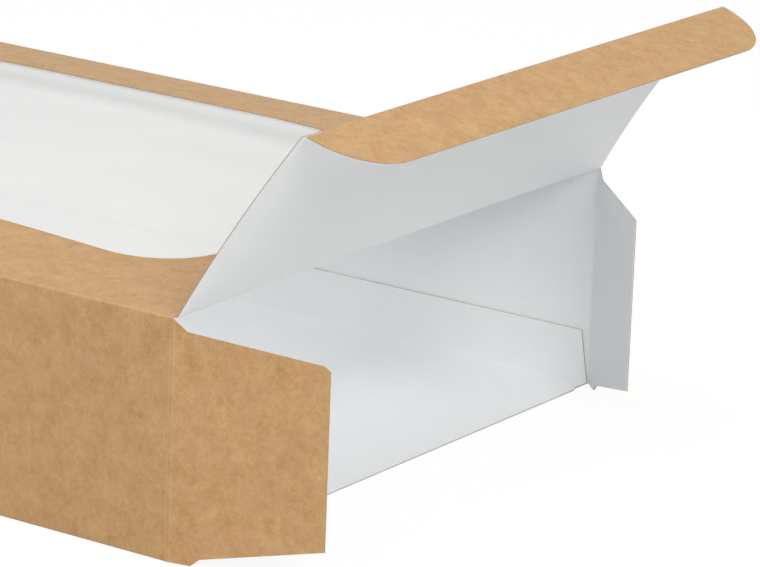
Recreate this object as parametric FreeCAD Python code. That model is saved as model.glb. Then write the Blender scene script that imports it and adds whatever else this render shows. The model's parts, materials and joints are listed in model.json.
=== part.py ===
"""Windowed sandwich platter box: a tuck-end carton folded from one sheet of kraft board.

Frame: +Z up, length along Y, width along X. The open end faces -Y. The origin is the
middle of the base's underside. All sizes are in millimetres, angles in degrees.
"""

import FreeCAD, Part
import math
import os

from FreeCAD import Vector

# ---- driving dimensions ------------------------------------------------------------
box_length = 359.0  # between the two lid hinge lines
box_width = 252.0  # over the side walls
box_height = 82.0  # over the base and the top panel
board = 0.5  # caliper of the kraft board
fold_inner_radius = 0.3  # inside of every folded edge

window_side_border = 40.0  # board left beside the window
window_end_border = 31.0  # board left between the window and each hinge line
window_corner_radius = 28.0
film = 0.1  # clear window film
film_margin = 12.0  # glued band round the window

crown_height = 6.8  # the top bows up this far between its folds
crown_side_run = 80.0  # rising over this distance in from each side fold
crown_end_run = 130.0  # and over this distance in from each end

glue_flap_height = 19.8  # seam strip inside the right wall
glue_flap_slant = 3.2  # how far its ends lean back from base to top

lid_side_play = 0.3  # between the tucked tab's ends and the doubled right wall
tuck_clearance = 0.3  # between the tucked edge and the base
top_edge_gap = 0.3  # between the top panel and a closed lid
lid_hinge_gap = 0.5  # board cleared on each side of a lid's hinge line
flap_hinge_gap = 0.4  # the same at the smaller hinges

tab_depth = 25.0
tab_corner_radius = 23.0
slit_width = 0.3  # opening of the lock slit at each end of the tab's fold
slit_overrun = 2.3  # the slit is this much longer than the tooth that drops into it

dust_flap_length = 55.0
dust_flap_top_gap = 0.5  # below the top panel's underside
top_relief_start = 1.3  # the upper corner is cut away from here ...
top_relief_run = 4.0  # ... over this length
top_relief_drop = 3.3
top_taper = 2.7  # fall of the flap's upper edge to its end
tooth_width = 8.2  # lock tooth at the foot of the flap
tooth_run_out = 3.3
tooth_clearance = 0.2  # above the table
lower_edge_start = 2.9  # height of the lower edge beside the tooth
lower_edge_end = 12.7  # height of the lower edge at the flap's end
nesting_gap = 0.15  # between a closed lid and the dust flaps behind it

end_setback = 0.5  # the top and the base are cut this far inside the hinge lines
notch_overrun = 1.5  # the base's corner notch is this much wider than the tooth
notch_clearance = 0.25
beyond = 1.0  # how far a cut reaches past what it cuts away

front_lid_raised = 55.1  # above level
front_tab_fold = 74.0  # from the lid's plane, towards its white side
rear_tab_fold = 100.0
left_flap_turn = 11.2  # inwards from in line with its wall
right_flap_turn = 44.2

# ---- places that follow from them --------------------------------------------------
half_width = box_width / 2
front = -box_length / 2
fold_outer_radius = fold_inner_radius + board
lid_length = box_height - board - tuck_clearance
lid_half_width = half_width - 2 * board - lid_side_play
# the dust flaps fold on lines set back from the lid's, so that the lid closes over them
dust_setback = board + nesting_gap + board / 2
dust_hinge = front + dust_setback
notch_end = dust_hinge + board / 2 + notch_clearance
# the rear dust flaps lie square behind the rear lid, this far from the middle of the box
rear_flap_face = -front - board - nesting_gap
slit_length = tooth_width + slit_overrun + board / 2 - (half_width - lid_half_width)
flap_top = box_height - board - dust_flap_top_gap
window_half_width = half_width - window_side_border
window_half_length = box_length / 2 - window_end_border


def placed(shape, origin, along, across):
    """Moves a shape drawn on XY so that its X runs along, its Y across and its Z normal."""
    normal = along.cross(across)
    matrix = FreeCAD.Matrix(
        along.x, across.x, normal.x, origin.x,
        along.y, across.y, normal.y, origin.y,
        along.z, across.z, normal.z, origin.z,
        0, 0, 0, 1,
    )
    moved = shape.copy()
    moved.transformShape(matrix)
    return moved


def polygon(points):
    corners = [Vector(x, y, 0) for x, y in points]
    return Part.Face(Part.makePolygon(corners + corners[:1]))


def sheet(face, low, high):
    """A flat blank between two heights over its own plane."""
    blank = face.extrude(Vector(0, 0, high - low))
    blank.translate(Vector(0, 0, low))
    return blank


def block(x0, x1, y0, y1, z0, z1):
    return Part.makeBox(x1 - x0, y1 - y0, z1 - z0, Vector(x0, y0, z0))


def rounded_rectangle(half_x, half_y, radius):
    """A rectangle about the origin with round corners."""
    edges = []
    inner_x, inner_y = half_x - radius, half_y - radius
    centres = [(inner_x, inner_y), (-inner_x, inner_y), (-inner_x, -inner_y), (inner_x, -inner_y)]
    for turn, (x, y) in enumerate(centres):
        start = turn * 90
        circle = Part.Circle(Vector(x, y, 0), Vector(0, 0, 1), radius)
        edges.append(Part.Arc(circle, math.radians(start), math.radians(start + 90)).toShape())
    joined = []
    for edge, following in zip(edges, edges[1:] + edges[:1]):
        joined.append(edge)
        joined.append(Part.makeLine(edge.lastVertex().Point, following.firstVertex().Point))
    return Part.Face(Part.Wire(joined))


def fold_sector(centre_x, centre_y, start, sweep):
    """The round of a folded edge, in section: a ring sector one board thick."""
    ring = []
    centre = Vector(centre_x, centre_y, 0)
    first, last = math.radians(start), math.radians(start + sweep)
    for radius in (fold_inner_radius, fold_outer_radius):
        circle = Part.Circle(centre, Vector(0, 0, 1), radius)
        ring.append(Part.Arc(circle, first, last).toShape())
    inner, outer = ring
    ends = [
        Part.makeLine(inner.firstVertex().Point, outer.firstVertex().Point),
        Part.makeLine(inner.lastVertex().Point, outer.lastVertex().Point),
    ]
    return Part.Face(Part.Wire(Part.__sortEdges__([inner, outer] + ends)))


def strip_section(path):
    """A board strip in section. path is its outer face; every fold turns left by 90."""
    pieces = []
    trims = [0] + [fold_outer_radius] * (len(path) - 2) + [0]
    for i, ((ax, ay), (bx, by)) in enumerate(zip(path, path[1:])):
        length = math.hypot(bx - ax, by - ay)
        dx, dy = (bx - ax) / length, (by - ay) / length
        x0, y0 = ax + dx * trims[i], ay + dy * trims[i]
        x1, y1 = bx - dx * trims[i + 1], by - dy * trims[i + 1]
        inward_x, inward_y = -dy * board, dx * board
        pieces.append(polygon([
            (x0, y0), (x1, y1), (x1 + inward_x, y1 + inward_y), (x0 + inward_x, y0 + inward_y),
        ]))
        if i < len(path) - 2:
            centre_x = bx + (-dx - dy) * fold_outer_radius
            centre_y = by + (-dy + dx) * fold_outer_radius
            start = math.degrees(math.atan2(dy, dx)) - 90
            pieces.append(fold_sector(centre_x, centre_y, start, 90))
    return pieces


def fused(shapes):
    whole = shapes[0].multiFuse(shapes[1:]) if shapes[1:] else shapes[0]
    whole = whole.removeSplitter()
    if len(whole.Solids) != 1:
        raise ValueError("a folded piece must be one solid")
    return whole.Solids[0]


def trimmed(shape, cutters):
    for cutter in cutters:
        shape = shape.cut(cutter)
    return shape


# ---- outlines of the die-cut flaps, flat -------------------------------------------
def dust_flap_outline(root, toothed):
    """Away from its fold along X, up along Y. The foot carries the lock tooth."""
    relief_end = top_relief_start + top_relief_run
    relief_top = flap_top - top_relief_drop
    lower_start = tooth_width + tooth_run_out
    if toothed:
        foot = [(lower_start, lower_edge_start), (tooth_width, tooth_clearance), (root, tooth_clearance)]
    else:
        foot = [(lower_start, lower_edge_start), (root, lower_edge_start)]
    return polygon([
        (root, flap_top),
        (top_relief_start, flap_top),
        (relief_end, relief_top),
        (dust_flap_length, relief_top - top_taper),
        (dust_flap_length, lower_edge_end),
    ] + foot)


def tab_outline(root):
    """Along the tab's fold in X, into the box along Y, with big round corners and slits."""
    straight = tab_depth - tab_corner_radius
    inner = lid_half_width - tab_corner_radius
    corners = []
    for side, start in ((1, 0), (-1, 90)):
        circle = Part.Circle(Vector(side * inner, straight, 0), Vector(0, 0, 1), tab_corner_radius)
        corners.append(Part.Arc(circle, math.radians(start), math.radians(start + 90)).toShape())
    right, left = corners
    slit_end = lid_half_width - slit_length
    outline = [
        Vector(-lid_half_width, straight, 0),
        Vector(-lid_half_width, root + slit_width, 0),
        Vector(-slit_end, root + slit_width, 0),
        Vector(-slit_end, root, 0),
        Vector(slit_end, root, 0),
        Vector(slit_end, root + slit_width, 0),
        Vector(lid_half_width, root + slit_width, 0),
        Vector(lid_half_width, straight, 0),
    ]
    lines = [Part.makeLine(a, b) for a, b in zip(outline, outline[1:])]
    edge = Part.makeLine(right.lastVertex().Point, left.firstVertex().Point)
    return Part.Face(Part.Wire(Part.__sortEdges__(lines + [right, edge, left])))


# ---- the glued sleeve: top panel, walls, base, seam strip and rear dust flaps -------
def crowned_sheet(half_x, half_y, top, thickness):
    """A sheet about the middle of the top panel that bows up as the panel does, with its
    upper face at top where it is flat: along the panel's folds and ends."""
    flat_x, flat_y = half_width - fold_outer_radius, box_length / 2 - end_setback
    full_x, full_y = flat_x - crown_side_run, flat_y - crown_end_run
    # across it is two parabolas with a level middle, lengthwise two smooth steps with one
    across = [(-flat_x, 0), (-(flat_x + full_x) / 2, 1), (0, 1), ((flat_x + full_x) / 2, 1), (flat_x, 0)]
    third = crown_end_run / 3
    along = [(flat_y, 0), (flat_y - third, 0), (full_y + third, 1), (full_y / 3, 1)]
    along = [(-y, rise) for y, rise in along] + along[::-1]
    poles = [
        [Vector(x, y, top + crown_height * a * b) for y, b in along] for x, a in across
    ]
    surface = Part.BSplineSurface()
    surface.buildFromPolesMultsKnots(
        poles, [3, 1, 1, 3], [4, 2, 2, 4],
        [-flat_x, -full_x, full_x, flat_x], [-flat_y, -full_y, full_y, flat_y],
        False, False, 2, 3,
    )
    return surface.toShape(-half_x, half_x, -half_y, half_y).extrude(Vector(0, 0, -thickness))


def sleeve_tube():
    """The board strip wrapped round the box, seamed inside the right wall."""
    path = [
        (half_width, 0),
        (half_width, box_height),
        (-half_width, box_height),
        (-half_width, 0),
        (half_width - board, 0),
        (half_width - board, glue_flap_height),
    ]
    run = box_length - 2 * end_setback
    sections = strip_section(path)
    # the third section is the top panel's, which isn't flat
    sections.pop(2)
    flat_x, flat_y = half_width - fold_outer_radius, box_length / 2 - end_setback
    strips = [crowned_sheet(flat_x, flat_y, box_height, board)]
    for face in sections:
        upright = placed(face, Vector(0, front + end_setback, 0), Vector(1, 0, 0), Vector(0, 0, 1))
        strips.append(upright.extrude(Vector(0, run, 0)))
    return fused(strips)


def end_trims(wall_end):
    """What is cut away at the open end, where the side walls stop at wall_end: the walls'
    ends, and a notch in each corner of the base that a lock tooth drops through."""
    outside = half_width + beyond
    ahead = front - beyond
    inner = half_width - fold_outer_radius
    notch = half_width - board / 2 - tooth_width - notch_overrun
    cuts = []
    for side in (-1, 1):
        x0, x1 = sorted((side * inner, side * outside))
        cuts.append(block(x0, x1, ahead, wall_end, -beyond, box_height + beyond))
        x0, x1 = sorted((side * notch, side * outside))
        cuts.append(block(x0, x1, ahead, notch_end, -beyond, fold_outer_radius))
    return cuts


def glue_flap_trim():
    """What the slant cuts off the seam strip at the open end."""
    slope = glue_flap_slant / glue_flap_height
    low, high = board, glue_flap_height + beyond
    profile = polygon([
        (front - beyond, low),
        (notch_end + slope * low, low),
        (notch_end + slope * high, high),
        (front - beyond, high),
    ])
    inner_face = half_width - 2 * board
    upright = placed(profile, Vector(inner_face - beyond, 0, 0), Vector(0, 1, 0), Vector(0, 0, 1))
    return upright.extrude(Vector(board + beyond, 0, 0))


def at_rear(shape):
    """The same cut at the rear end, on the same side."""
    return shape.mirror(Vector(0, 0, 0), Vector(0, 1, 0))


def dust_flap(outline, hinge, away):
    """A dust flap standing on its fold line and pointing away from it."""
    return placed(sheet(outline, -board / 2, board / 2), hinge, away, Vector(0, 0, 1))


def rear_dust_flap(side):
    """A rear dust flap folded square behind the closed rear lid, with its folded edge."""
    corner = Vector(side * half_width, rear_flap_face - board / 2, 0)
    outline = dust_flap_outline(fold_outer_radius, toothed=False)
    flap = dust_flap(outline, corner, Vector(-side, 0, 0))
    centre_x = side * (half_width - fold_outer_radius)
    start = 0 if side > 0 else 90
    edge = fold_sector(centre_x, rear_flap_face - fold_outer_radius, start, 90)
    edge.translate(Vector(0, 0, lower_edge_start))
    return [flap, edge.extrude(Vector(0, 0, flap_top - lower_edge_start))]


def carton_sleeve():
    front_cuts = end_trims(notch_end) + [glue_flap_trim()]
    rear_cuts = end_trims(fold_outer_radius - rear_flap_face) + [glue_flap_trim()]
    window = rounded_rectangle(window_half_width, window_half_length, window_corner_radius)
    hole = sheet(window, box_height - board - beyond, box_height + crown_height + beyond)
    # the top panel stops short of the closed rear lid, which hangs from its edge
    rear_edge = -front - board - top_edge_gap
    lid_room = block(
        -half_width, half_width, rear_edge, beyond - front, box_height / 2, box_height + beyond
    )
    cuts = front_cuts + [at_rear(cut) for cut in rear_cuts] + [hole, lid_room]
    sleeve = trimmed(sleeve_tube(), cuts)
    return fused([sleeve] + rear_dust_flap(-1) + rear_dust_flap(1))


def window_film():
    half_x = window_half_width + film_margin
    half_y = window_half_length + film_margin
    return fused([crowned_sheet(half_x, half_y, box_height - board, film)])


# ---- hinged pieces -----------------------------------------------------------------
def outward(raised):
    """The way out of the open end at an angle above level, square to the hinge line."""
    angle = math.radians(raised)
    return Vector(0, -math.cos(angle), math.sin(angle))


def front_lid():
    start, end = lid_hinge_gap, lid_length - flap_hinge_gap
    panel = polygon([
        (-lid_half_width, start), (lid_half_width, start), (lid_half_width, end), (-lid_half_width, end),
    ])
    # the hinge line is on the kraft face, and the thickness lies on the white side
    hinge = Vector(0, front, box_height)
    return placed(sheet(panel, 0, board), hinge, Vector(1, 0, 0), outward(front_lid_raised))


def front_tuck_tab():
    """The tab folds about a line in the middle of the lid's thickness."""
    white_side = outward(front_lid_raised - 90)
    fold = Vector(0, front, box_height) + outward(front_lid_raised) * lid_length
    fold = fold + white_side * (board / 2)
    tab = sheet(tab_outline(flap_hinge_gap), -board / 2, board / 2)
    return placed(tab, fold, Vector(1, 0, 0), outward(front_lid_raised - front_tab_fold))


def front_dust_flap(side, turn):
    """side is -1 on the left and 1 on the right."""
    angle = math.radians(turn)
    away = Vector(-side * math.sin(angle), -math.cos(angle), 0)
    hinge = Vector(side * (half_width - board / 2), dust_hinge, 0)
    return dust_flap(dust_flap_outline(flap_hinge_gap, toothed=True), hinge, away)


def rear_lid():
    """The closed rear lid and its tucked tab, one folded sheet."""
    rear = -front
    bottom = box_height - lid_length
    fold_y, fold_z = rear - fold_outer_radius, bottom + fold_outer_radius
    panel_top = box_height - lid_hinge_gap
    panel = block(-lid_half_width, lid_half_width, rear - board, rear, fold_z, panel_top)
    # the fold's section is drawn with Y along X and Z along Y, then stood up
    section = fold_sector(fold_y, fold_z, -rear_tab_fold, rear_tab_fold)
    left_end = Vector(-lid_half_width, 0, 0)
    edge = placed(section, left_end, Vector(0, 1, 0), Vector(0, 0, 1))
    edge = edge.extrude(Vector(2 * lid_half_width, 0, 0))
    # the tab leaves the fold's outer face here, leaning up into the box
    lean = math.radians(rear_tab_fold - 90)
    root = Vector(
        0, fold_y - fold_outer_radius * math.sin(lean), fold_z - fold_outer_radius * math.cos(lean)
    )
    inward = Vector(0, -math.cos(lean), math.sin(lean))
    tab = placed(sheet(tab_outline(0), -board, 0), root, Vector(1, 0, 0), inward)
    slit_inner = rear - board - fold_outer_radius - slit_width
    slit_top = bottom + 2 * board
    slits = []
    for side in (-1, 1):
        ends = (side * (lid_half_width - slit_length), side * (lid_half_width + beyond))
        x0, x1 = sorted(ends)
        slits.append(block(x0, x1, slit_inner, rear - board, bottom - beyond, slit_top))
    return fused([trimmed(fused([panel, edge, tab]), slits)])


nodes = {
    "carton_sleeve": carton_sleeve(),
    "window_film": window_film(),
    "front_lid": front_lid(),
    "front_tuck_tab": front_tuck_tab(),
    "left_dust_flap": front_dust_flap(-1, left_flap_turn),
    "right_dust_flap": front_dust_flap(1, right_flap_turn),
    "rear_lid": rear_lid(),
}

os.makedirs("parts", exist_ok=True)
for name, shape in nodes.items():
    if not shape.isValid() or len(shape.Solids) != 1:
        raise ValueError(name + " isn't one valid solid")
    shape.exportStep("parts/" + name + ".step")
    box = shape.BoundBox
    print(name, round(shape.Volume, 1), [round(v, 2) for v in (
        box.XMin, box.XMax, box.YMin, box.YMax, box.ZMin, box.ZMax)])
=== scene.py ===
import json
import math

import bpy
import numpy as np
from mathutils import Matrix, Vector


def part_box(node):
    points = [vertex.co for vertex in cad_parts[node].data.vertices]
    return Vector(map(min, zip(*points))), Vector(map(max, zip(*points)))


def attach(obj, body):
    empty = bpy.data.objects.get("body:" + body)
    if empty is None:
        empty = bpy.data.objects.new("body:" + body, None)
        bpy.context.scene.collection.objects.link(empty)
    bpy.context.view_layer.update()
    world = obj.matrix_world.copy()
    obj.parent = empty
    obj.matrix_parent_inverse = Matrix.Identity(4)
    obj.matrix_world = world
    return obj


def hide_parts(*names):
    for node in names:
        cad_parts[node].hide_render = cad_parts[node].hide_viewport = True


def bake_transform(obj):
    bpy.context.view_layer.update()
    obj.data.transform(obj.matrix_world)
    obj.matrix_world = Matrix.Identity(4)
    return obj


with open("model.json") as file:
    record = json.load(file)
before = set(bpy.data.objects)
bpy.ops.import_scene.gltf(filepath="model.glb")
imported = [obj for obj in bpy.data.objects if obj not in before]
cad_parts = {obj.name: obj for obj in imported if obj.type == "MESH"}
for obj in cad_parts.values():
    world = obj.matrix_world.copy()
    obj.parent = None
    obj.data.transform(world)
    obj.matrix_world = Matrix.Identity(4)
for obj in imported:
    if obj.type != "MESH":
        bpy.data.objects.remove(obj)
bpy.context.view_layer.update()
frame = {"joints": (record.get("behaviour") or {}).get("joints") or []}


# ==== kraft board =======================================================================
# The box is cut from one sheet of folding board, 0.5 mm thick: an unbleached kraft liner
# outside, a clay-coated white face inside and a pale core that shows where a die cut it.
board = 0.0005


def linear(code):
    """An sRGB hex colour as linear RGBA."""
    channels = [int(code[i:i + 2], 16) / 255 for i in (1, 3, 5)]
    return [c / 12.92 if c <= 0.04045 else ((c + 0.055) / 1.055) ** 2.4 for c in channels] + [1]


def add(tree, kind, settings=None, links=None):
    """Adds a node, sets its properties and inputs, and links sockets to its inputs."""
    node = tree.nodes.new(kind)
    for key, value in (settings or {}).items():
        if isinstance(key, int) or key in node.inputs:
            node.inputs[key].default_value = value
        else:
            setattr(node, key, value)
    for key, source in (links or {}).items():
        tree.links.new(source, node.inputs[key])
    return node


cloud_size = 0.007
fibre_size = 0.0006


def paper_face(name, dark, light, hue, painted_light, mottle, spread, octaves, roughness, tooth):
    """A paper surface: two shades in soft blotches of one size down to fine ones, clouds of
    another hue where the pulp lay thicker, a colour painted along its creases for the light on
    them, and a tooth of that height. Real fibres are finer than the tooth, which is as coarse as
    shows."""
    material = bpy.data.materials.new(name)
    material.use_nodes = True
    tree = material.node_tree
    shader = tree.nodes["Principled BSDF"]
    shader.inputs["Roughness"].default_value = roughness
    place = add(tree, "ShaderNodeTexCoord").outputs["Object"]
    blotches = add(
        tree, "ShaderNodeTexNoise",
        {"Scale": 1 / mottle, "Detail": octaves, "Roughness": 1.0}, {"Vector": place},
    )
    shade = add(
        tree, "ShaderNodeMapRange",
        {"From Min": 0.5 - spread, "From Max": 0.5 + spread}, {"Value": blotches.outputs["Fac"]},
    )
    colour = add(
        tree, "ShaderNodeMix", {"data_type": "RGBA", 6: linear(dark), 7: linear(light)},
        {0: shade.outputs["Result"]},
    )
    clouds = add(
        tree, "ShaderNodeTexNoise",
        {"Scale": 1 / cloud_size, "Detail": 3.0, "Roughness": 0.8}, {"Vector": place},
    )
    patches = add(
        tree, "ShaderNodeMapRange", {"From Min": 0.35, "From Max": 0.65, "To Max": 0.5},
        {"Value": clouds.outputs["Fac"]},
    )
    tinted = add(
        tree, "ShaderNodeMix", {"data_type": "RGBA", 7: linear(hue)},
        {0: patches.outputs["Result"], 6: colour.outputs[2]},
    )
    # painted light along creases: the paper turns to its crease colour where the blank says
    crease = add(tree, "ShaderNodeAttribute", {"attribute_name": "painted_light"})
    painted_crease_colour = add(
        tree, "ShaderNodeMix", {"data_type": "RGBA", 7: linear(painted_light)},
        {0: crease.outputs["Fac"], 6: tinted.outputs[2]},
    )
    tree.links.new(painted_crease_colour.outputs[2], shader.inputs["Base Color"])
    fibres = add(
        tree, "ShaderNodeTexNoise", {"Scale": 1 / fibre_size, "Detail": 2.0}, {"Vector": place}
    )
    bump = add(
        tree, "ShaderNodeBump", {"Strength": 1.0, "Distance": tooth},
        {"Height": fibres.outputs["Fac"]},
    )
    tree.links.new(bump.outputs["Normal"], shader.inputs["Normal"])
    return material


# unbleached kraft liner, calendered: matt, with cloudy blotches from 8 mm down to 0.25 mm
# its crease colour, paler than the liner, is a painted highlight along folds and score lines
kraft = paper_face(
    "kraft_liner", dark="#A97F4C", light="#CCA771", hue="#C09773", painted_light="#DDBE95",
    mottle=0.008, spread=0.17, octaves=5.0, roughness=0.6, tooth=0.00003,
)
# white clay coating, blade coated: smooth and faintly cool, with hardly any mottle
# its grey crease colour is a painted shade along the creases on the inside
white = paper_face(
    "clay_coated_white", dark="#F0F3F5", light="#F5F8F9", hue="#F4F6F8", painted_light="#B9BEC2",
    mottle=0.012, spread=0.3, octaves=3.0, roughness=0.55, tooth=0.000004,
)
# pale pulp core, die cut and rough, under the thin brown ply that the liner shows edge on;
# both colours are darkened towards grey as painted shade for the shaded cut edges
core_with_painted_shade = paper_face(
    "cut_board_core_painted_shade", dark="#CCC5BA", light="#DFD8CE", hue="#D5CFC5", painted_light="#DDD0B9",
    mottle=0.0008, spread=0.25, octaves=2.0, roughness=0.9, tooth=0.00002,
)
ply_end, core_start = 0.2, 0.4  # shares of the way through from the kraft face
pulp = core_with_painted_shade.node_tree.nodes["Principled BSDF"].inputs["Base Color"]
depth = add(core_with_painted_shade.node_tree, "ShaderNodeAttribute", {"attribute_name": "depth"})
below_ply = add(
    core_with_painted_shade.node_tree, "ShaderNodeMapRange", {"From Min": ply_end, "From Max": core_start},
    {"Value": depth.outputs["Fac"]},
)
# the ply's dark grey-brown: the liner's own edge, made darker as a painted shadow line
layers = add(
    core_with_painted_shade.node_tree, "ShaderNodeMix", {"data_type": "RGBA", 6: linear("#6F675D")},
    {0: below_ply.outputs["Result"], 7: pulp.links[0].from_socket},
)
core_with_painted_shade.node_tree.links.new(layers.outputs[2], pulp)


# ==== folding ===========================================================================
# A die presses a crease along each fold line, and the board turns round it. One Geometry
# Nodes tree does that to any flat blank: it turns every crease, then gives the board its
# thickness on the white side, with a kraft face, a white face and cut edges.
most_creases = 4
crease_values = ("Reach", "Side", "Turn", "Radius")
board_faces = ("Outside", "Inside", "Cut edge")
weld_distance = 1e-6
sharp_angle = 0.6


def socket(tree, label, kind, in_out="INPUT"):
    """Adds a named input or output to the whole tree."""
    return tree.interface.new_socket(name=label, in_out=in_out, socket_type=kind)


def crease_nodes(tree, inputs, sheet, number):
    """Turns what lies beyond one crease. The blank's own 'out' says how far out a point is."""
    reach, side, turn, radius = (inputs[f"{what} {number}"] for what in crease_values)

    def sums(operation, *values):
        """One step of arithmetic on sockets and plain numbers."""
        links = {i: v for i, v in enumerate(values) if not isinstance(v, float)}
        settings = {i: v for i, v in enumerate(values) if isinstance(v, float)}
        node = add(tree, "ShaderNodeMath", {"operation": operation, **settings}, links)
        return node.outputs[0]

    out = add(tree, "GeometryNodeInputNamedAttribute", {"data_type": "FLOAT", "Name": "out"})
    beyond = sums("SUBTRACT", sums("MULTIPLY", out.outputs["Attribute"], side), reach)
    arc = sums("MULTIPLY", radius, sums("ABSOLUTE", turn))
    along = sums("MINIMUM", sums("MAXIMUM", beyond, 0.0), arc)
    way = sums("SIGN", turn)
    back = add(tree, "ShaderNodeCombineXYZ", {}, {"X": sums("MULTIPLY", along, side)})
    centre = add(
        tree, "ShaderNodeCombineXYZ", {},
        {"X": sums("MULTIPLY", reach, side),
         "Z": sums("MULTIPLY", sums("MULTIPLY", radius, way), -1.0)},
    )
    angle = sums("MULTIPLY", sums("MULTIPLY", sums("DIVIDE", along, radius), way), side)
    pulled = add(
        tree, "ShaderNodeVectorMath", {"operation": "SUBTRACT"},
        {0: add(tree, "GeometryNodeInputPosition").outputs[0], 1: back.outputs[0]},
    )
    turned = add(
        tree, "ShaderNodeVectorRotate", {"rotation_type": "Y_AXIS"},
        {"Vector": pulled.outputs[0], "Center": centre.outputs[0], "Angle": angle},
    )
    moved = add(
        tree, "GeometryNodeSetPosition", {},
        {"Geometry": sheet, "Position": turned.outputs[0]},
    )
    return moved.outputs[0]


def folding_tree():
    """The tree itself. Its inputs are the blank, the board and up to four creases."""
    tree = bpy.data.node_groups.new("fold_board", "GeometryNodeTree")
    socket(tree, "Blank", "NodeSocketGeometry")
    socket(tree, "Thickness", "NodeSocketFloat")
    for face in board_faces:
        socket(tree, face, "NodeSocketMaterial")
    for number in range(most_creases):
        for what in crease_values:
            socket(tree, f"{what} {number}", "NodeSocketFloat")
    socket(tree, "Board", "NodeSocketGeometry", "OUTPUT")
    inputs = add(tree, "NodeGroupInput").outputs
    sheet = inputs["Blank"]
    for number in reversed(range(most_creases)):
        sheet = crease_nodes(tree, inputs, sheet, number)
    inwards = add(
        tree, "ShaderNodeMath", {"operation": "MULTIPLY", 1: -1.0}, {0: inputs["Thickness"]}
    )
    shell = add(
        tree, "GeometryNodeExtrudeMesh", {"mode": "FACES", "Individual": False},
        {"Mesh": sheet, "Offset Scale": inwards.outputs[0]},
    )
    layered = add(
        tree, "GeometryNodeStoreNamedAttribute",
        {"data_type": "FLOAT", "domain": "POINT", "Name": "depth"},
        {"Geometry": shell.outputs["Mesh"], "Value": shell.outputs["Top"]},
    )
    lining = add(tree, "GeometryNodeFlipFaces", {}, {"Mesh": layered.outputs[0]})
    both = add(tree, "GeometryNodeJoinGeometry", {}, {0: lining.outputs[0]})
    tree.links.new(sheet, both.inputs[0])
    welded = add(
        tree, "GeometryNodeMergeByDistance", {"Distance": weld_distance},
        {"Geometry": both.outputs[0]},
    )
    rim = shell.outputs["Side"]
    faces = add(tree, "FunctionNodeBooleanMath", {"operation": "NOT"}, {0: rim})
    smooth = add(
        tree, "GeometryNodeSetShadeSmooth", {},
        {"Geometry": welded.outputs[0], "Shade Smooth": faces.outputs[0]},
    )
    bent = add(tree, "GeometryNodeInputMeshEdgeAngle")
    sharp = add(
        tree, "FunctionNodeCompare", {"operation": "GREATER_THAN", 1: sharp_angle},
        {0: bent.outputs["Unsigned Angle"]},
    )
    crisp = add(
        tree, "GeometryNodeSetShadeSmooth", {"domain": "EDGE", "Shade Smooth": False},
        {"Geometry": smooth.outputs[0], "Selection": sharp.outputs[0]},
    )
    real = add(tree, "GeometryNodeRealizeInstances", {}, {0: crisp.outputs[0]}).outputs[0]
    outside = add(
        tree, "GeometryNodeSetMaterial", {}, {"Geometry": real, "Material": inputs["Outside"]}
    )
    inside = add(
        tree, "GeometryNodeSetMaterial", {},
        {"Geometry": outside.outputs[0], "Selection": shell.outputs["Top"],
         "Material": inputs["Inside"]},
    )
    edged = add(
        tree, "GeometryNodeSetMaterial", {},
        {"Geometry": inside.outputs[0], "Selection": rim, "Material": inputs["Cut edge"]},
    )
    add(tree, "NodeGroupOutput", {}, {"Board": edged.outputs[0]})
    return tree


fold_board = folding_tree()


def cut_blank(name, grids):
    """A flat blank, with X out from where it is held and its kraft face up. It is welded from
    grids, whose points are one where they agree to 0.1 micrometre. A point's fourth value
    says how much painted light lies there: along a crease, and across the window film."""
    numbers, points, faces = {}, [], []
    for grid in grids:
        rows = []
        for row in grid:
            numbered = []
            for point in row:
                key = tuple(round(value, 7) for value in point[:2])
                if key not in numbers:
                    numbers[key] = len(points)
                    points.append((*point, 0.0)[:4])
                numbered.append(numbers[key])
            rows.append(numbered)
        for near, far in zip(rows, rows[1:]):
            for i in range(len(near) - 1):
                corners = list(dict.fromkeys((near[i], near[i + 1], far[i + 1], far[i])))
                if len(corners) > 2:
                    faces.append(corners)
    flat = np.array(points)
    for i, face in enumerate(faces):
        x, y = flat[face, 0], flat[face, 1]
        if np.dot(x, np.roll(y, -1)) < np.dot(y, np.roll(x, -1)):
            faces[i] = face[::-1]
    mesh = bpy.data.meshes.new(name)
    mesh.from_pydata(flat[:, :3].tolist(), [], faces)
    for label, column in (("out", 0), ("painted_light", 3)):
        mesh.attributes.new(label, "FLOAT", "POINT").data.foreach_set("value", flat[:, column])
    return mesh


scene = bpy.context.scene


def folded(name, blank, creases, place, faces=(kraft, white, core_with_painted_shade), thickness=board):
    """The blank folded at its creases, each (reach, side, turn, radius), and put in place."""
    maker = bpy.data.objects.new(name + "_blank", blank)
    scene.collection.objects.link(maker)
    modifier = maker.modifiers.new("fold", "NODES")
    modifier.node_group = fold_board
    values = {"Thickness": thickness, **dict(zip(board_faces, faces))}
    uncreased = (0.0, 1.0, 0.0, 1.0)
    for number in range(most_creases):
        crease = creases[number] if number < len(creases) else uncreased
        for what, value in zip(crease_values, crease):
            values[f"{what} {number}"] = value
    for item in fold_board.interface.items_tree:
        if item.name in values:
            modifier[item.identifier] = values[item.name]
    graph = bpy.context.evaluated_depsgraph_get()
    mesh = bpy.data.meshes.new_from_object(maker.evaluated_get(graph))
    bpy.data.objects.remove(maker)
    mesh.name = name
    mesh.transform(place)
    piece = bpy.data.objects.new(name, mesh)
    scene.collection.objects.link(piece)
    return piece


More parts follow.
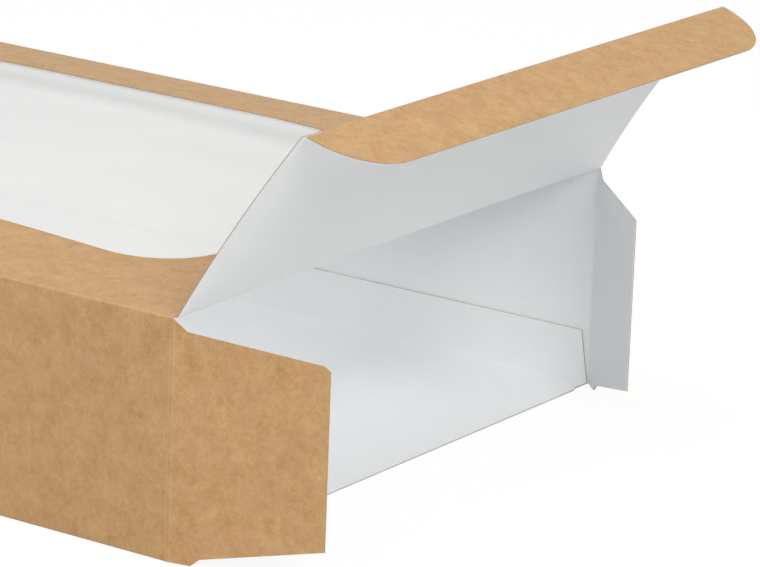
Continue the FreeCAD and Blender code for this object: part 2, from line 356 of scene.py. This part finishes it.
# ==== sleeve ============================================================================
# Top panel with the window cut in it, walls, base and a seam strip, creased and wrapped
# round into a tube, and glued inside the right wall. The long top bows up between its folds.
sleeve_low, sleeve_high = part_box("carton_sleeve")
hinge = {joint["name"]: Vector(joint["pos_m"]) for joint in frame["joints"]}
height = hinge["front_lid_hinge"].z
half_width = sleeve_high.x
half_length = hinge["rear_lid_hinge"].y
square = math.pi / 2
outer_fold = 0.0008
flat_half = half_width - outer_fold

side_margin, end_margin = 0.040, 0.031
window_x = half_width - side_margin
window_y = half_length - end_margin
window_corner = 0.028
rear_fold_room = 0.0003
top_front = sleeve_low.y
top_back = half_length - board - rear_fold_room

crown_height, crown_side_run, crown_end_run = 0.0068, 0.080, 0.130
hinge_bow = 0.0008
edge_share = 0.03


def steps(*stops):
    """Values from stop to stop: steps(0, 4, 1.0) is 0 to 1.0 in four steps."""
    values = [stops[0]]
    for count, end in zip(stops[1::2], stops[2::2]):
        values += list(np.linspace(values[-1], end, count + 1)[1:])
    return values


def bow(x, y):
    """How far the top panel stands above flat: a little at its open end, more behind it."""
    across = min(max(flat_half - abs(x), 0) / crown_side_run, 1)
    along = min(max(-top_front - abs(y), 0) / crown_end_run, 1)
    crown = crown_height * across * (2 - across) * along * along * (3 - 2 * along)
    lift = hinge_bow * max(1 - (x / flat_half) ** 2, 0) if y < 0 else 0
    return crown + lift * (1 - along)


def window_rays():
    """Pairs of points round the window: on its edge, and straight out from it on the top
    panel's outline, which the corner's points share between its two sides."""
    rays = []
    straight_x, straight_y = window_x - window_corner, window_y - window_corner
    for quarter, (sx, sy) in enumerate(((1, 1), (-1, 1), (-1, -1), (1, -1))):
        end = top_back if sy > 0 else -top_front
        on_side = [(window_x, y, flat_half, y) for y in steps(0, 12, straight_y)[:-1]]
        on_end = [(x, window_y, x, end) for x in steps(straight_x, 6, 0)[1:-1]]
        round_corner = []
        for angle, share in zip(steps(0, 12, square), steps(0, 12, 2)):
            out_x = flat_half - max(share - 1, 0) * (flat_half - straight_x)
            out_y = straight_y + min(share, 1) * (end - straight_y)
            round_corner.append((
                straight_x + window_corner * math.cos(angle),
                straight_y + window_corner * math.sin(angle), out_x, out_y,
            ))
        ends = [(0, window_y, 0, end)] if quarter % 2 == 0 else []
        path = on_side + round_corner + on_end + ends
        if quarter % 2:
            path = path[::-1]
        rays += [(sx * a, sy * b, sx * c, sy * d) for a, b, c, d in path]
    return rays


def top_panel_grid():
    """Rings of points from the window's edge out to the panel's outline, close at both."""
    rays = window_rays()
    rays.append(rays[0])
    rings = []
    for share in steps(0, 1, edge_share, 8, 1 - edge_share, 1, 1.0):
        ring = []
        for ax, ay, bx, by in rays:
            x, y = ax + (bx - ax) * share, ay + (by - ay) * share
            ring.append((x, y, bow(x, y)))
        rings.append(ring)
    return rings


quarter_fold = square * outer_fold
glue_line = 0.00003
strip_height = 0.0198
strip_slant = 0.0032 / strip_height
# the walls stop short of the lids' lines, so that the dust flaps fold in behind the lids
wall_front, wall_back = -0.1781, 0.17805
base_end = -sleeve_low.y
notch_width, notch_run = 0.00995, 0.0006
# a line pressed into each wall beside its flap's fold: its edges and its middle
flap_score = (0.00005, 0.0003, 0.00055)
# how much painted light lies on a score line and round a fold: a paler painted highlight on the
# kraft, a grey painted shade on the white
score_shade, crease_shade = 0.3, 0.12

# how far out from the middle of the top each fold of the wrap starts and ends
fold_foot = flat_half + quarter_fold
right_end = fold_foot + height - outer_fold
left_turn = fold_foot + height - 2 * outer_fold
base_start = left_turn + quarter_fold
seam_turn = base_start + 2 * flat_half - board - glue_line
strip_start = seam_turn + quarter_fold
strip_end = strip_start + strip_height - outer_fold
notch_in = notch_width - outer_fold

same_place = 1e-9
side_lines = sorted({
    round(y, 9) for _, _, x, y in window_rays() if abs(x - flat_half) < same_place
})


def wrap_rows(side, rows):
    """Rows of the strip that goes on from the top panel. Each row is how far out it lies,
    where its front and back ends are, and how much painted crease light it carries."""
    grid = []
    for number, (out, front, back, painted_light) in enumerate(rows):
        scored = [front + (gap if number else 0.0) for gap in flap_score]
        lines = [front] + scored + side_lines[1:-1] + [back]
        marks = [painted_light] * len(lines)
        # the score line's middle carries the painted light of a score
        marks[2] = score_shade if fold_foot < out < base_start else painted_light
        grid.append([(side * out, y, 0.0, mark) for y, mark in zip(lines, marks)])
    return grid


def fold_rows(start, front=wall_front, back=wall_back):
    """Round one fold, with its painted crease light strongest in its middle, from that front
    and back to a wall's.
    """
    return [
        (out, front + share * (wall_front - front), back + share * (wall_back - back),
         crease_shade * math.sin(math.pi * share))
        for out, share in zip(steps(start, 6, start + quarter_fold), steps(0, 6, 1))
    ]


def wall_rows(bottom):
    """From the top panel's edge round the fold and down a side wall."""
    down = [(out, wall_front, wall_back, 0.0) for out in steps(fold_foot, 10, bottom)[1:]]
    return fold_rows(flat_half, top_front, top_back) + down


def strip_rows():
    """The seam strip, whose ends lean back towards its free edge."""
    rows = []
    for out in steps(strip_start, 4, strip_end)[1:]:
        lean = strip_slant * (out - strip_start + outer_fold)
        rows.append((out, wall_front + lean, wall_back - lean, 0.0))
    return rows


right_rows = wall_rows(right_end)
left_rows = wall_rows(left_turn) + fold_rows(left_turn)[1:]
left_rows += [(base_start + notch_in - notch_run, wall_front, wall_back, 0.0)]
left_rows += [
    (out, -base_end, base_end, 0.0)
    for out in steps(base_start + notch_in, 24, seam_turn - notch_in)
]
left_rows += [(seam_turn - notch_in + notch_run, wall_front, wall_back, 0.0)]
left_rows += fold_rows(seam_turn) + strip_rows()
sleeve_blank = cut_blank(
    "sleeve_blank", [top_panel_grid(), wrap_rows(1, right_rows), wrap_rows(-1, left_rows)]
)
sleeve = folded(
    "folded_sleeve", sleeve_blank,
    [(flat_half, 1.0, square, outer_fold), (flat_half, -1.0, square, outer_fold),
     (left_turn, -1.0, square, outer_fold), (seam_turn, -1.0, square, outer_fold)],
    Matrix.Translation((0, 0, height)),
)
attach(sleeve, "carton")
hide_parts("carton_sleeve")


# ==== window film =======================================================================
# A sheet of clear cellulose film, glued under the top panel in a band round the window.
# It is cut a little loose, so it ripples between the window's edges.
film_low, film_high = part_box("window_film")
film_thickness = 0.0001
film_gap = 0.00003
square_on_alpha, grazing_gain, grazing_power = 0.05, 1.2, 3.0

# regenerated cellulose, cast and glazed: clear square on; at a low angle its whitish colour
# shows, a painted reflection of the white studio beside its own gloss
film_face = bpy.data.materials.new("clear_cellulose_film")
film_face.use_nodes = True
tree = film_face.node_tree
film_shader = tree.nodes["Principled BSDF"]
film_shader.inputs["Roughness"].default_value = 0.12
film_shader.inputs["IOR"].default_value = 1.47
# the film's colour is painted light: grey-white where painted shade lies, white where it stands
# for the film's reflection
painted_film_light = add(tree, "ShaderNodeAttribute", {"attribute_name": "painted_light"})
film_colour = add(
    tree, "ShaderNodeMix",
    {"data_type": "RGBA", 6: linear("#DADAD8"), 7: linear("#F5F5F3")}, {0: painted_film_light.outputs["Fac"]},
)
tree.links.new(film_colour.outputs[2], film_shader.inputs["Base Color"])
glance = add(tree, "ShaderNodeLayerWeight", {"Blend": 0.5})
steep = add(
    tree, "ShaderNodeMath", {"operation": "POWER", 1: grazing_power},
    {0: glance.outputs["Facing"]},
)
sheen = add(
    tree, "ShaderNodeMath",
    {"operation": "MULTIPLY_ADD", "use_clamp": True, 1: grazing_gain, 2: square_on_alpha},
    {0: steep.outputs[0]},
)
tree.links.new(sheen.outputs[0], film_shader.inputs["Alpha"])

long_wave, short_wave = 0.00012, 0.00005
sag_from_edge = (0, 0.01, 0.0165, 0.022, 0.028, 0.034)
sag_painted_light = (0.5, 0.35, 0.03, 0.15, 0.6, 1.0)
streak_painted_light = 0.04


def ripple(x, y):
    """The loose film's waves, which die out at the window's edge. Their numbers are radians
    a metre, chosen so that the crests wander and don't repeat inside the window."""
    in_x = max(1 - (x / window_x) ** 2, 0)
    in_y = max(1 - (y / window_y) ** 2, 0)
    hold = min(1.0, 3 * in_x * in_y)
    waves = long_wave * math.sin(40 * x + 12 * y + math.sin(25 * y))
    waves += short_wave * math.sin(150 * x - 40 * y + 1.5 * math.sin(18 * y + 30 * x))
    return hold * waves


def film_painted_light(x, y):
    """How much painted reflection whitens the film: least, as a painted shade, in a band that
    sags beside its right glued edge, with faint painted streaks across it.
    """
    band = np.interp(window_x - x, sag_from_edge, sag_painted_light)
    streaks = math.sin(110 * x + 35 * y + 3 * math.sin(16 * y + 20 * x))
    return band - streak_painted_light + streak_painted_light * streaks


film_grid = [
    [(x, y, bow(x, y) + ripple(x, y), film_painted_light(x, y))
     for y in steps(film_low.y, 120, film_high.y)]
    for x in steps(film_low.x, 120, film_high.x)
]
film = folded(
    "clear_window", cut_blank("film_blank", [film_grid]), [],
    Matrix.Translation((0, 0, height - board - film_gap)),
    faces=(film_face,) * 3, thickness=film_thickness,
)
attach(film, "carton")
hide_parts("window_film")


# ==== front lid =========================================================================
# The open end's lid stands up from the top panel's front edge. Its board is curled a little,
# and the crease that it hangs from is a hair's breadth of bent kraft.
lid_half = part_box("front_lid")[1].x
lid_raised = math.radians(55.1)
lid_hinge = hinge["front_lid_hinge"]
lid_out = Vector((0, -math.cos(lid_raised), math.sin(lid_raised)))
lid_up = Vector((0, math.sin(lid_raised), math.cos(lid_raised)))
tab_line = hinge["front_tab_fold"]
lid_length = (tab_line - lid_hinge).dot(lid_out)
near_curl, far_curl = 0.0013, 0.0024
near_twist, far_twist = 0.0006, -0.0005

crease_inner = 0.0003  # the kraft face's radius where a crease bends towards it
crease_gap = 0.0004  # board beside a hinge line that belongs to the crease
crease_roll = 0.005  # as the lid moves, its crease rolls over this much of it
lid_setback = crease_inner * math.tan(lid_raised / 2)
lid_lead = lid_hinge.y - top_front
lid_arc = -lid_lead - lid_setback
lid_start = lid_arc + crease_inner * lid_raised
lid_end = lid_start + lid_length - crease_gap - lid_setback


def frame_matrix(origin, out, kraft_side):
    """A blank's place: its X runs out, its kraft face looks along kraft_side."""
    across = kraft_side.cross(out)
    turn = Matrix((out, across, kraft_side)).transposed().to_4x4()
    return Matrix.Translation(origin) @ turn


def lid_twist(x):
    """How far the lid's outer edge stands off flat, from its near end to its far end."""
    return near_twist + (far_twist - near_twist) * (x + lid_half) / (2 * lid_half)


def lid_point(x, out):
    """A point of the flat lid, curled beyond its crease."""
    share = min(max((out - lid_start) / (lid_end - lid_start), 0), 1)
    curl = near_curl + (far_curl - near_curl) * (x + lid_half) / (2 * lid_half)
    return (out, x, 4 * curl * share * (1 - share) + lid_twist(x) * share)


lid_columns = steps(-lid_half, 40, lid_half)
rolled_end = lid_start + crease_roll + crease_gap
lid_grid = [
    [lid_point(x, out) for x in lid_columns]
    for out in steps(0, 1, lid_arc, 6, lid_start, 12, rolled_end, 18, lid_end)
]
front_lid = folded(
    "raised_lid", cut_blank("lid_blank", [lid_grid]),
    [(lid_arc, 1.0, -lid_raised, crease_inner)],
    frame_matrix(Vector((0, top_front, height)), Vector((0, -1, 0)), Vector((0, 0, 1))),
)
# its crease follows the bow of the top panel's edge, and its outer edge is straight again
for point in front_lid.data.vertices:
    share = min(max((point.co - lid_hinge).dot(lid_out) / lid_length, 0), 1)
    point.co.z += bow(point.co.x, -half_length) * (1 - share)
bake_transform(front_lid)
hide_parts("front_lid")


# ==== tuck tab ==========================================================================
# The lid's tab turns towards the white side. Its corners are round, and at each end of its
# crease a lock slit is cut right through, so the board's core shows there.
tab_turn = math.radians(74.0)
tab_depth = 0.025
tab_corner = 0.023
crease_outer = 0.00075  # the kraft face's radius where a crease bends away from it
slit_length, slit_gap = 0.00945, 0.0003
corner_start = lid_half - tab_corner


def outer_setback(turn):
    """How far a kraft-side crease's bend starts before the line in the board's middle."""
    return (crease_outer - board / 2) * math.tan(turn / 2)


def tab_reach(x):
    """How far the tab's edge lies from its fold line."""
    past = max(abs(x) - corner_start, 0)
    return tab_depth - tab_corner + math.sqrt(max(tab_corner ** 2 - past ** 2, 0))


slit_end = lid_half - slit_length
corner_columns = [
    corner_start + tab_corner * math.sin(angle) for angle in steps(0, 14, square)[1:]
]
half_columns = sorted(set(steps(0, 12, corner_start) + corner_columns + [slit_end]))
tab_columns = [-x for x in half_columns[:0:-1]] + half_columns
creased_columns = [x for x in tab_columns if abs(x) <= slit_end + same_place]
tab_bend = crease_gap - outer_setback(tab_turn)
tab_flat = tab_bend + crease_outer * tab_turn
tab_fold = tab_flat - outer_setback(tab_turn)


def tab_grids(creased_rows, fold_line, twist):
    """A tab's flat outline: the creased strip between its slits, and what lies past them."""
    slit_edge = creased_rows[-1]
    strip = [[(out, x, twist(x)) for x in creased_columns] for out in creased_rows]
    past = [
        [(slit_edge + share * (fold_line + tab_reach(x) - slit_edge), x, twist(x))
         for x in tab_columns]
        for share in steps(0, 8, 1)
    ]
    return [strip, past]


tab_rows = [0.0] + steps(tab_bend, 8, tab_flat, 1, tab_flat + slit_gap)
tuck_tab = folded(
    "front_tuck", cut_blank("tab_blank", tab_grids(tab_rows, tab_fold, lid_twist)),
    [(tab_bend, 1.0, tab_turn, crease_outer)],
    frame_matrix(lid_hinge + lid_out * (lid_length - crease_gap), lid_out, lid_up),
)
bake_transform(tuck_tab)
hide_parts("front_tuck_tab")


# ==== dust flaps ========================================================================
# Each wall ends in a dust flap that folds in behind the lid: cut away at the top so that it
# clears the lid's crease, with a lock tooth at the foot of the front ones.
flap_length = 0.055
flap_top = 0.08145
relief_start, relief_end, relief_drop = 0.0002, 0.0053, 0.0036
tooth_end, tooth_run = 0.0082, 0.0033
tooth_foot, foot_start = 0.0002, 0.0029
snip = 0.0022
score, score_half = 0.0008, 0.00025
least_lead = 0.00002
rear_foot_end, rear_top_end, no_snip = 0.0127, 0.0752, 0.0001
flap_columns = [relief_end, tooth_end, tooth_end + tooth_run]


def flap_edges(out, toothed, foot_end, top_end, snip_drop):
    """The lower and upper edge of a dust flap at a distance from its fold line."""
    upper = np.interp(
        out, (relief_start, relief_end, flap_length - snip, flap_length),
        (flap_top, flap_top - relief_drop, top_end, top_end - snip_drop),
    )
    if toothed:
        lower = np.interp(
            out, (tooth_end, tooth_end + tooth_run, flap_length),
            (tooth_foot, foot_start, foot_end),
        )
    else:
        lower = np.interp(out, (tooth_end + tooth_run, flap_length), (foot_start, foot_end))
    return lower, upper


def dust_flap(name, side, end, turn, foot_end, top_end, snip_drop):
    """side is -1 at the left wall and 1 at the right, end is -1 at the front and 1 behind.
    Only the front ones have a tooth, and a score line beside the fold."""
    toothed = end < 0
    wall_end = wall_front if toothed else wall_back
    lead = wall_end - hinge["left_flap_hinge"].y if toothed else 0.0
    setback = outer_setback(turn)
    bend = max(lead - setback, least_lead)
    flat = bend + crease_outer * turn
    fold_line = flat - setback
    columns = [0.0] + steps(bend, 8, flat)
    if toothed:
        columns += [fold_line + out for out in (score - score_half, score, score + score_half)]
    columns += [fold_line + out for out in flap_columns]
    columns += [fold_line + out for out in steps(tooth_end + tooth_run, 6, flap_length - snip)[1:]]
    columns += [fold_line + flap_length]
    grid = []
    for out in columns:
        lower, upper = flap_edges(out - fold_line, toothed, foot_end, top_end, snip_drop)
        # the score line carries painted light, as on the walls
        mark = score_shade if abs(out - fold_line - score) < same_place else 0.0
        grid.append([(out, side * end * z, 0.0, mark) for z in steps(lower, 10, upper)])
    piece = folded(
        name, cut_blank(name + "_blank", [grid]), [(bend, 1.0, turn, crease_outer)],
        frame_matrix(
            Vector((side * half_width, wall_end, 0)), Vector((0, end, 0)), Vector((side, 0, 0))
        ),
    )
    return piece


# side, its word, how far its flap is folded in, the outer ends of its foot and top, the snip
for side, word, turn, foot_end, top_end, snip_drop in (
    (-1, "left", math.radians(11.2), 0.0129, 0.0740, 0.0015),
    (1, "right", math.radians(44.2), 0.0146, 0.0769, no_snip),
):
    flap = dust_flap(word + "_flap", side, -1, turn, foot_end, top_end, snip_drop)
    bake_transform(flap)
    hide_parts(word + "_dust_flap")
    rear = dust_flap(
        "rear_" + word + "_flap", side, 1, square, rear_foot_end, rear_top_end, no_snip
    )
    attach(rear, "carton")


# ==== rear lid ==========================================================================
# The far end is shut: its lid hangs from the top panel's back edge, outside the folded-in
# dust flaps, and its tab is tucked in over the base.
rear_turn = math.radians(100.0)
rear_bend = 0.00001  # the least flat board before a fold
rear_panel = rear_bend + quarter_fold
rear_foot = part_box("rear_lid")[0].z + outer_fold
rear_fold = rear_panel + height - outer_fold - rear_foot
rear_tab = rear_fold + outer_fold * rear_turn

rear_panel_grid = [
    [(out, x, 0.0) for x in tab_columns]
    for out in steps(0, 1, rear_bend, 6, rear_panel, 12, rear_fold)
]
rear_rows = steps(rear_fold, 8, rear_tab, 1, rear_tab + slit_gap)
rear_grids = [rear_panel_grid] + tab_grids(rear_rows, rear_tab, lambda x: 0.0)
rear_lid = folded(
    "closed_lid", cut_blank("rear_lid_blank", rear_grids),
    [(rear_bend, 1.0, square, outer_fold), (rear_fold, 1.0, rear_turn, outer_fold)],
    frame_matrix(Vector((0, top_back, height)), Vector((0, 1, 0)), Vector((0, 0, 1))),
)
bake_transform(rear_lid)
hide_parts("rear_lid")


# ==== studio ============================================================================
# A white sweep and an even white light from all round, with soft lamps from the front left,
# the left and above.
floor_half = 6
floor_corners = [
    (x * floor_half, y * floor_half, 0) for x, y in ((-1, -1), (1, -1), (1, 1), (-1, 1))
]
floor_mesh = bpy.data.meshes.new("floor")
floor_mesh.from_pydata(floor_corners, [], [(0, 1, 2, 3)])
floor = bpy.data.objects.new("floor", floor_mesh)
scene.collection.objects.link(floor)


def looked_at(tree):
    """1 where the studio is looked at or mirrored, and 0 where it lights the box."""
    path = add(tree, "ShaderNodeLightPath")
    return add(
        tree, "ShaderNodeMath", {"operation": "MAXIMUM"},
        {0: path.outputs["Is Camera Ray"], 1: path.outputs["Is Glossy Ray"]},
    ).outputs[0]


# matt white paint, rolled: it sends light up at the box, and only a faint shadow shows on it
floor_face = bpy.data.materials.new("white_studio_floor")
floor_face.use_nodes = True
tree = floor_face.node_tree
tree.nodes.clear()
paint = add(tree, "ShaderNodeBsdfDiffuse", {"Color": linear("#D8D8D8")})
shadow = add(tree, "ShaderNodeBsdfDiffuse", {"Color": linear("#707070")})
glow = add(tree, "ShaderNodeEmission", {"Color": (1, 1, 1, 1), "Strength": 0.86})
lit = add(tree, "ShaderNodeAddShader", {}, {0: shadow.outputs[0], 1: glow.outputs[0]})
mixed = add(
    tree, "ShaderNodeMixShader", {},
    {0: looked_at(tree), 1: paint.outputs[0], 2: lit.outputs[0]},
)
add(tree, "ShaderNodeOutputMaterial", {}, {"Surface": mixed.outputs[0]})
floor_mesh.materials.append(floor_face)

world = bpy.data.worlds.new("studio")
world.use_nodes = True
scene.world = world
tree = world.node_tree
tree.nodes.clear()
backdrop = add(tree, "ShaderNodeBackground", {"Color": (1, 1, 1, 1), "Strength": 1.0})
dome = add(tree, "ShaderNodeBackground", {"Color": (1, 1, 1, 1), "Strength": 0.43})
mixed = add(
    tree, "ShaderNodeMixShader", {},
    {0: looked_at(tree), 1: dome.outputs[0], 2: backdrop.outputs[0]},
)
add(tree, "ShaderNodeOutputWorld", {}, {"Surface": mixed.outputs[0]})

box_middle = Vector((0, 0, 0.05))


def soft_lamp(name, position, size, power, tint):
    """A round softbox that faces the box."""
    lamp = bpy.data.lights.new(name, "AREA")
    lamp.shape = "DISK"
    lamp.size = size
    lamp.energy = power
    lamp.color = tint
    holder = bpy.data.objects.new(name, lamp)
    holder.location = position
    towards = box_middle - holder.location
    holder.rotation_euler = towards.to_track_quat("-Z", "Y").to_euler()
    scene.collection.objects.link(holder)


soft_lamp(
    "front_left_softbox", (-1.2, -1.8, 1.6), size=1.4, power=38.8, tint=(1.0, 0.965, 0.93)
)
soft_lamp("left_softbox", (-1.9, 0.4, 1.8), size=1.8, power=10.2, tint=(1.0, 0.98, 0.97))
soft_lamp("overhead_softbox", (0, 0, 2.6), size=1.8, power=13.0, tint=(0.925, 0.975, 1.0))


# ==== camera ============================================================================
# A long lens from the front left, a little above the box and rolled slightly, aimed at the
# raised lid, so that the open end and its flaps fill the frame.
camera_azimuth = math.radians(-55.70)
camera_elevation = math.radians(16.26)
camera_roll = math.radians(2.13)
camera_distance = 1.5774
aim = Vector((0, -0.1712, 0.0640))
look = Vector((
    -math.sin(camera_azimuth) * math.cos(camera_elevation),
    math.cos(camera_azimuth) * math.cos(camera_elevation),
    -math.sin(camera_elevation),
))
level_right = Vector((math.cos(camera_azimuth), math.sin(camera_azimuth), 0))
level_up = level_right.cross(look)
right = level_right * math.cos(camera_roll) + level_up * math.sin(camera_roll)
camera_data = bpy.data.cameras.new("camera")
camera_data.lens = 220.8
camera_data.sensor_width = 36
camera_data.clip_end = 50
camera = bpy.data.objects.new("camera", camera_data)
camera.matrix_world = Matrix.Translation(aim - look * camera_distance) @ Matrix(
    (right, right.cross(look), -look)
).transposed().to_4x4()
scene.collection.objects.link(camera)
scene.camera = camera
scene.view_settings.view_transform = "Standard"
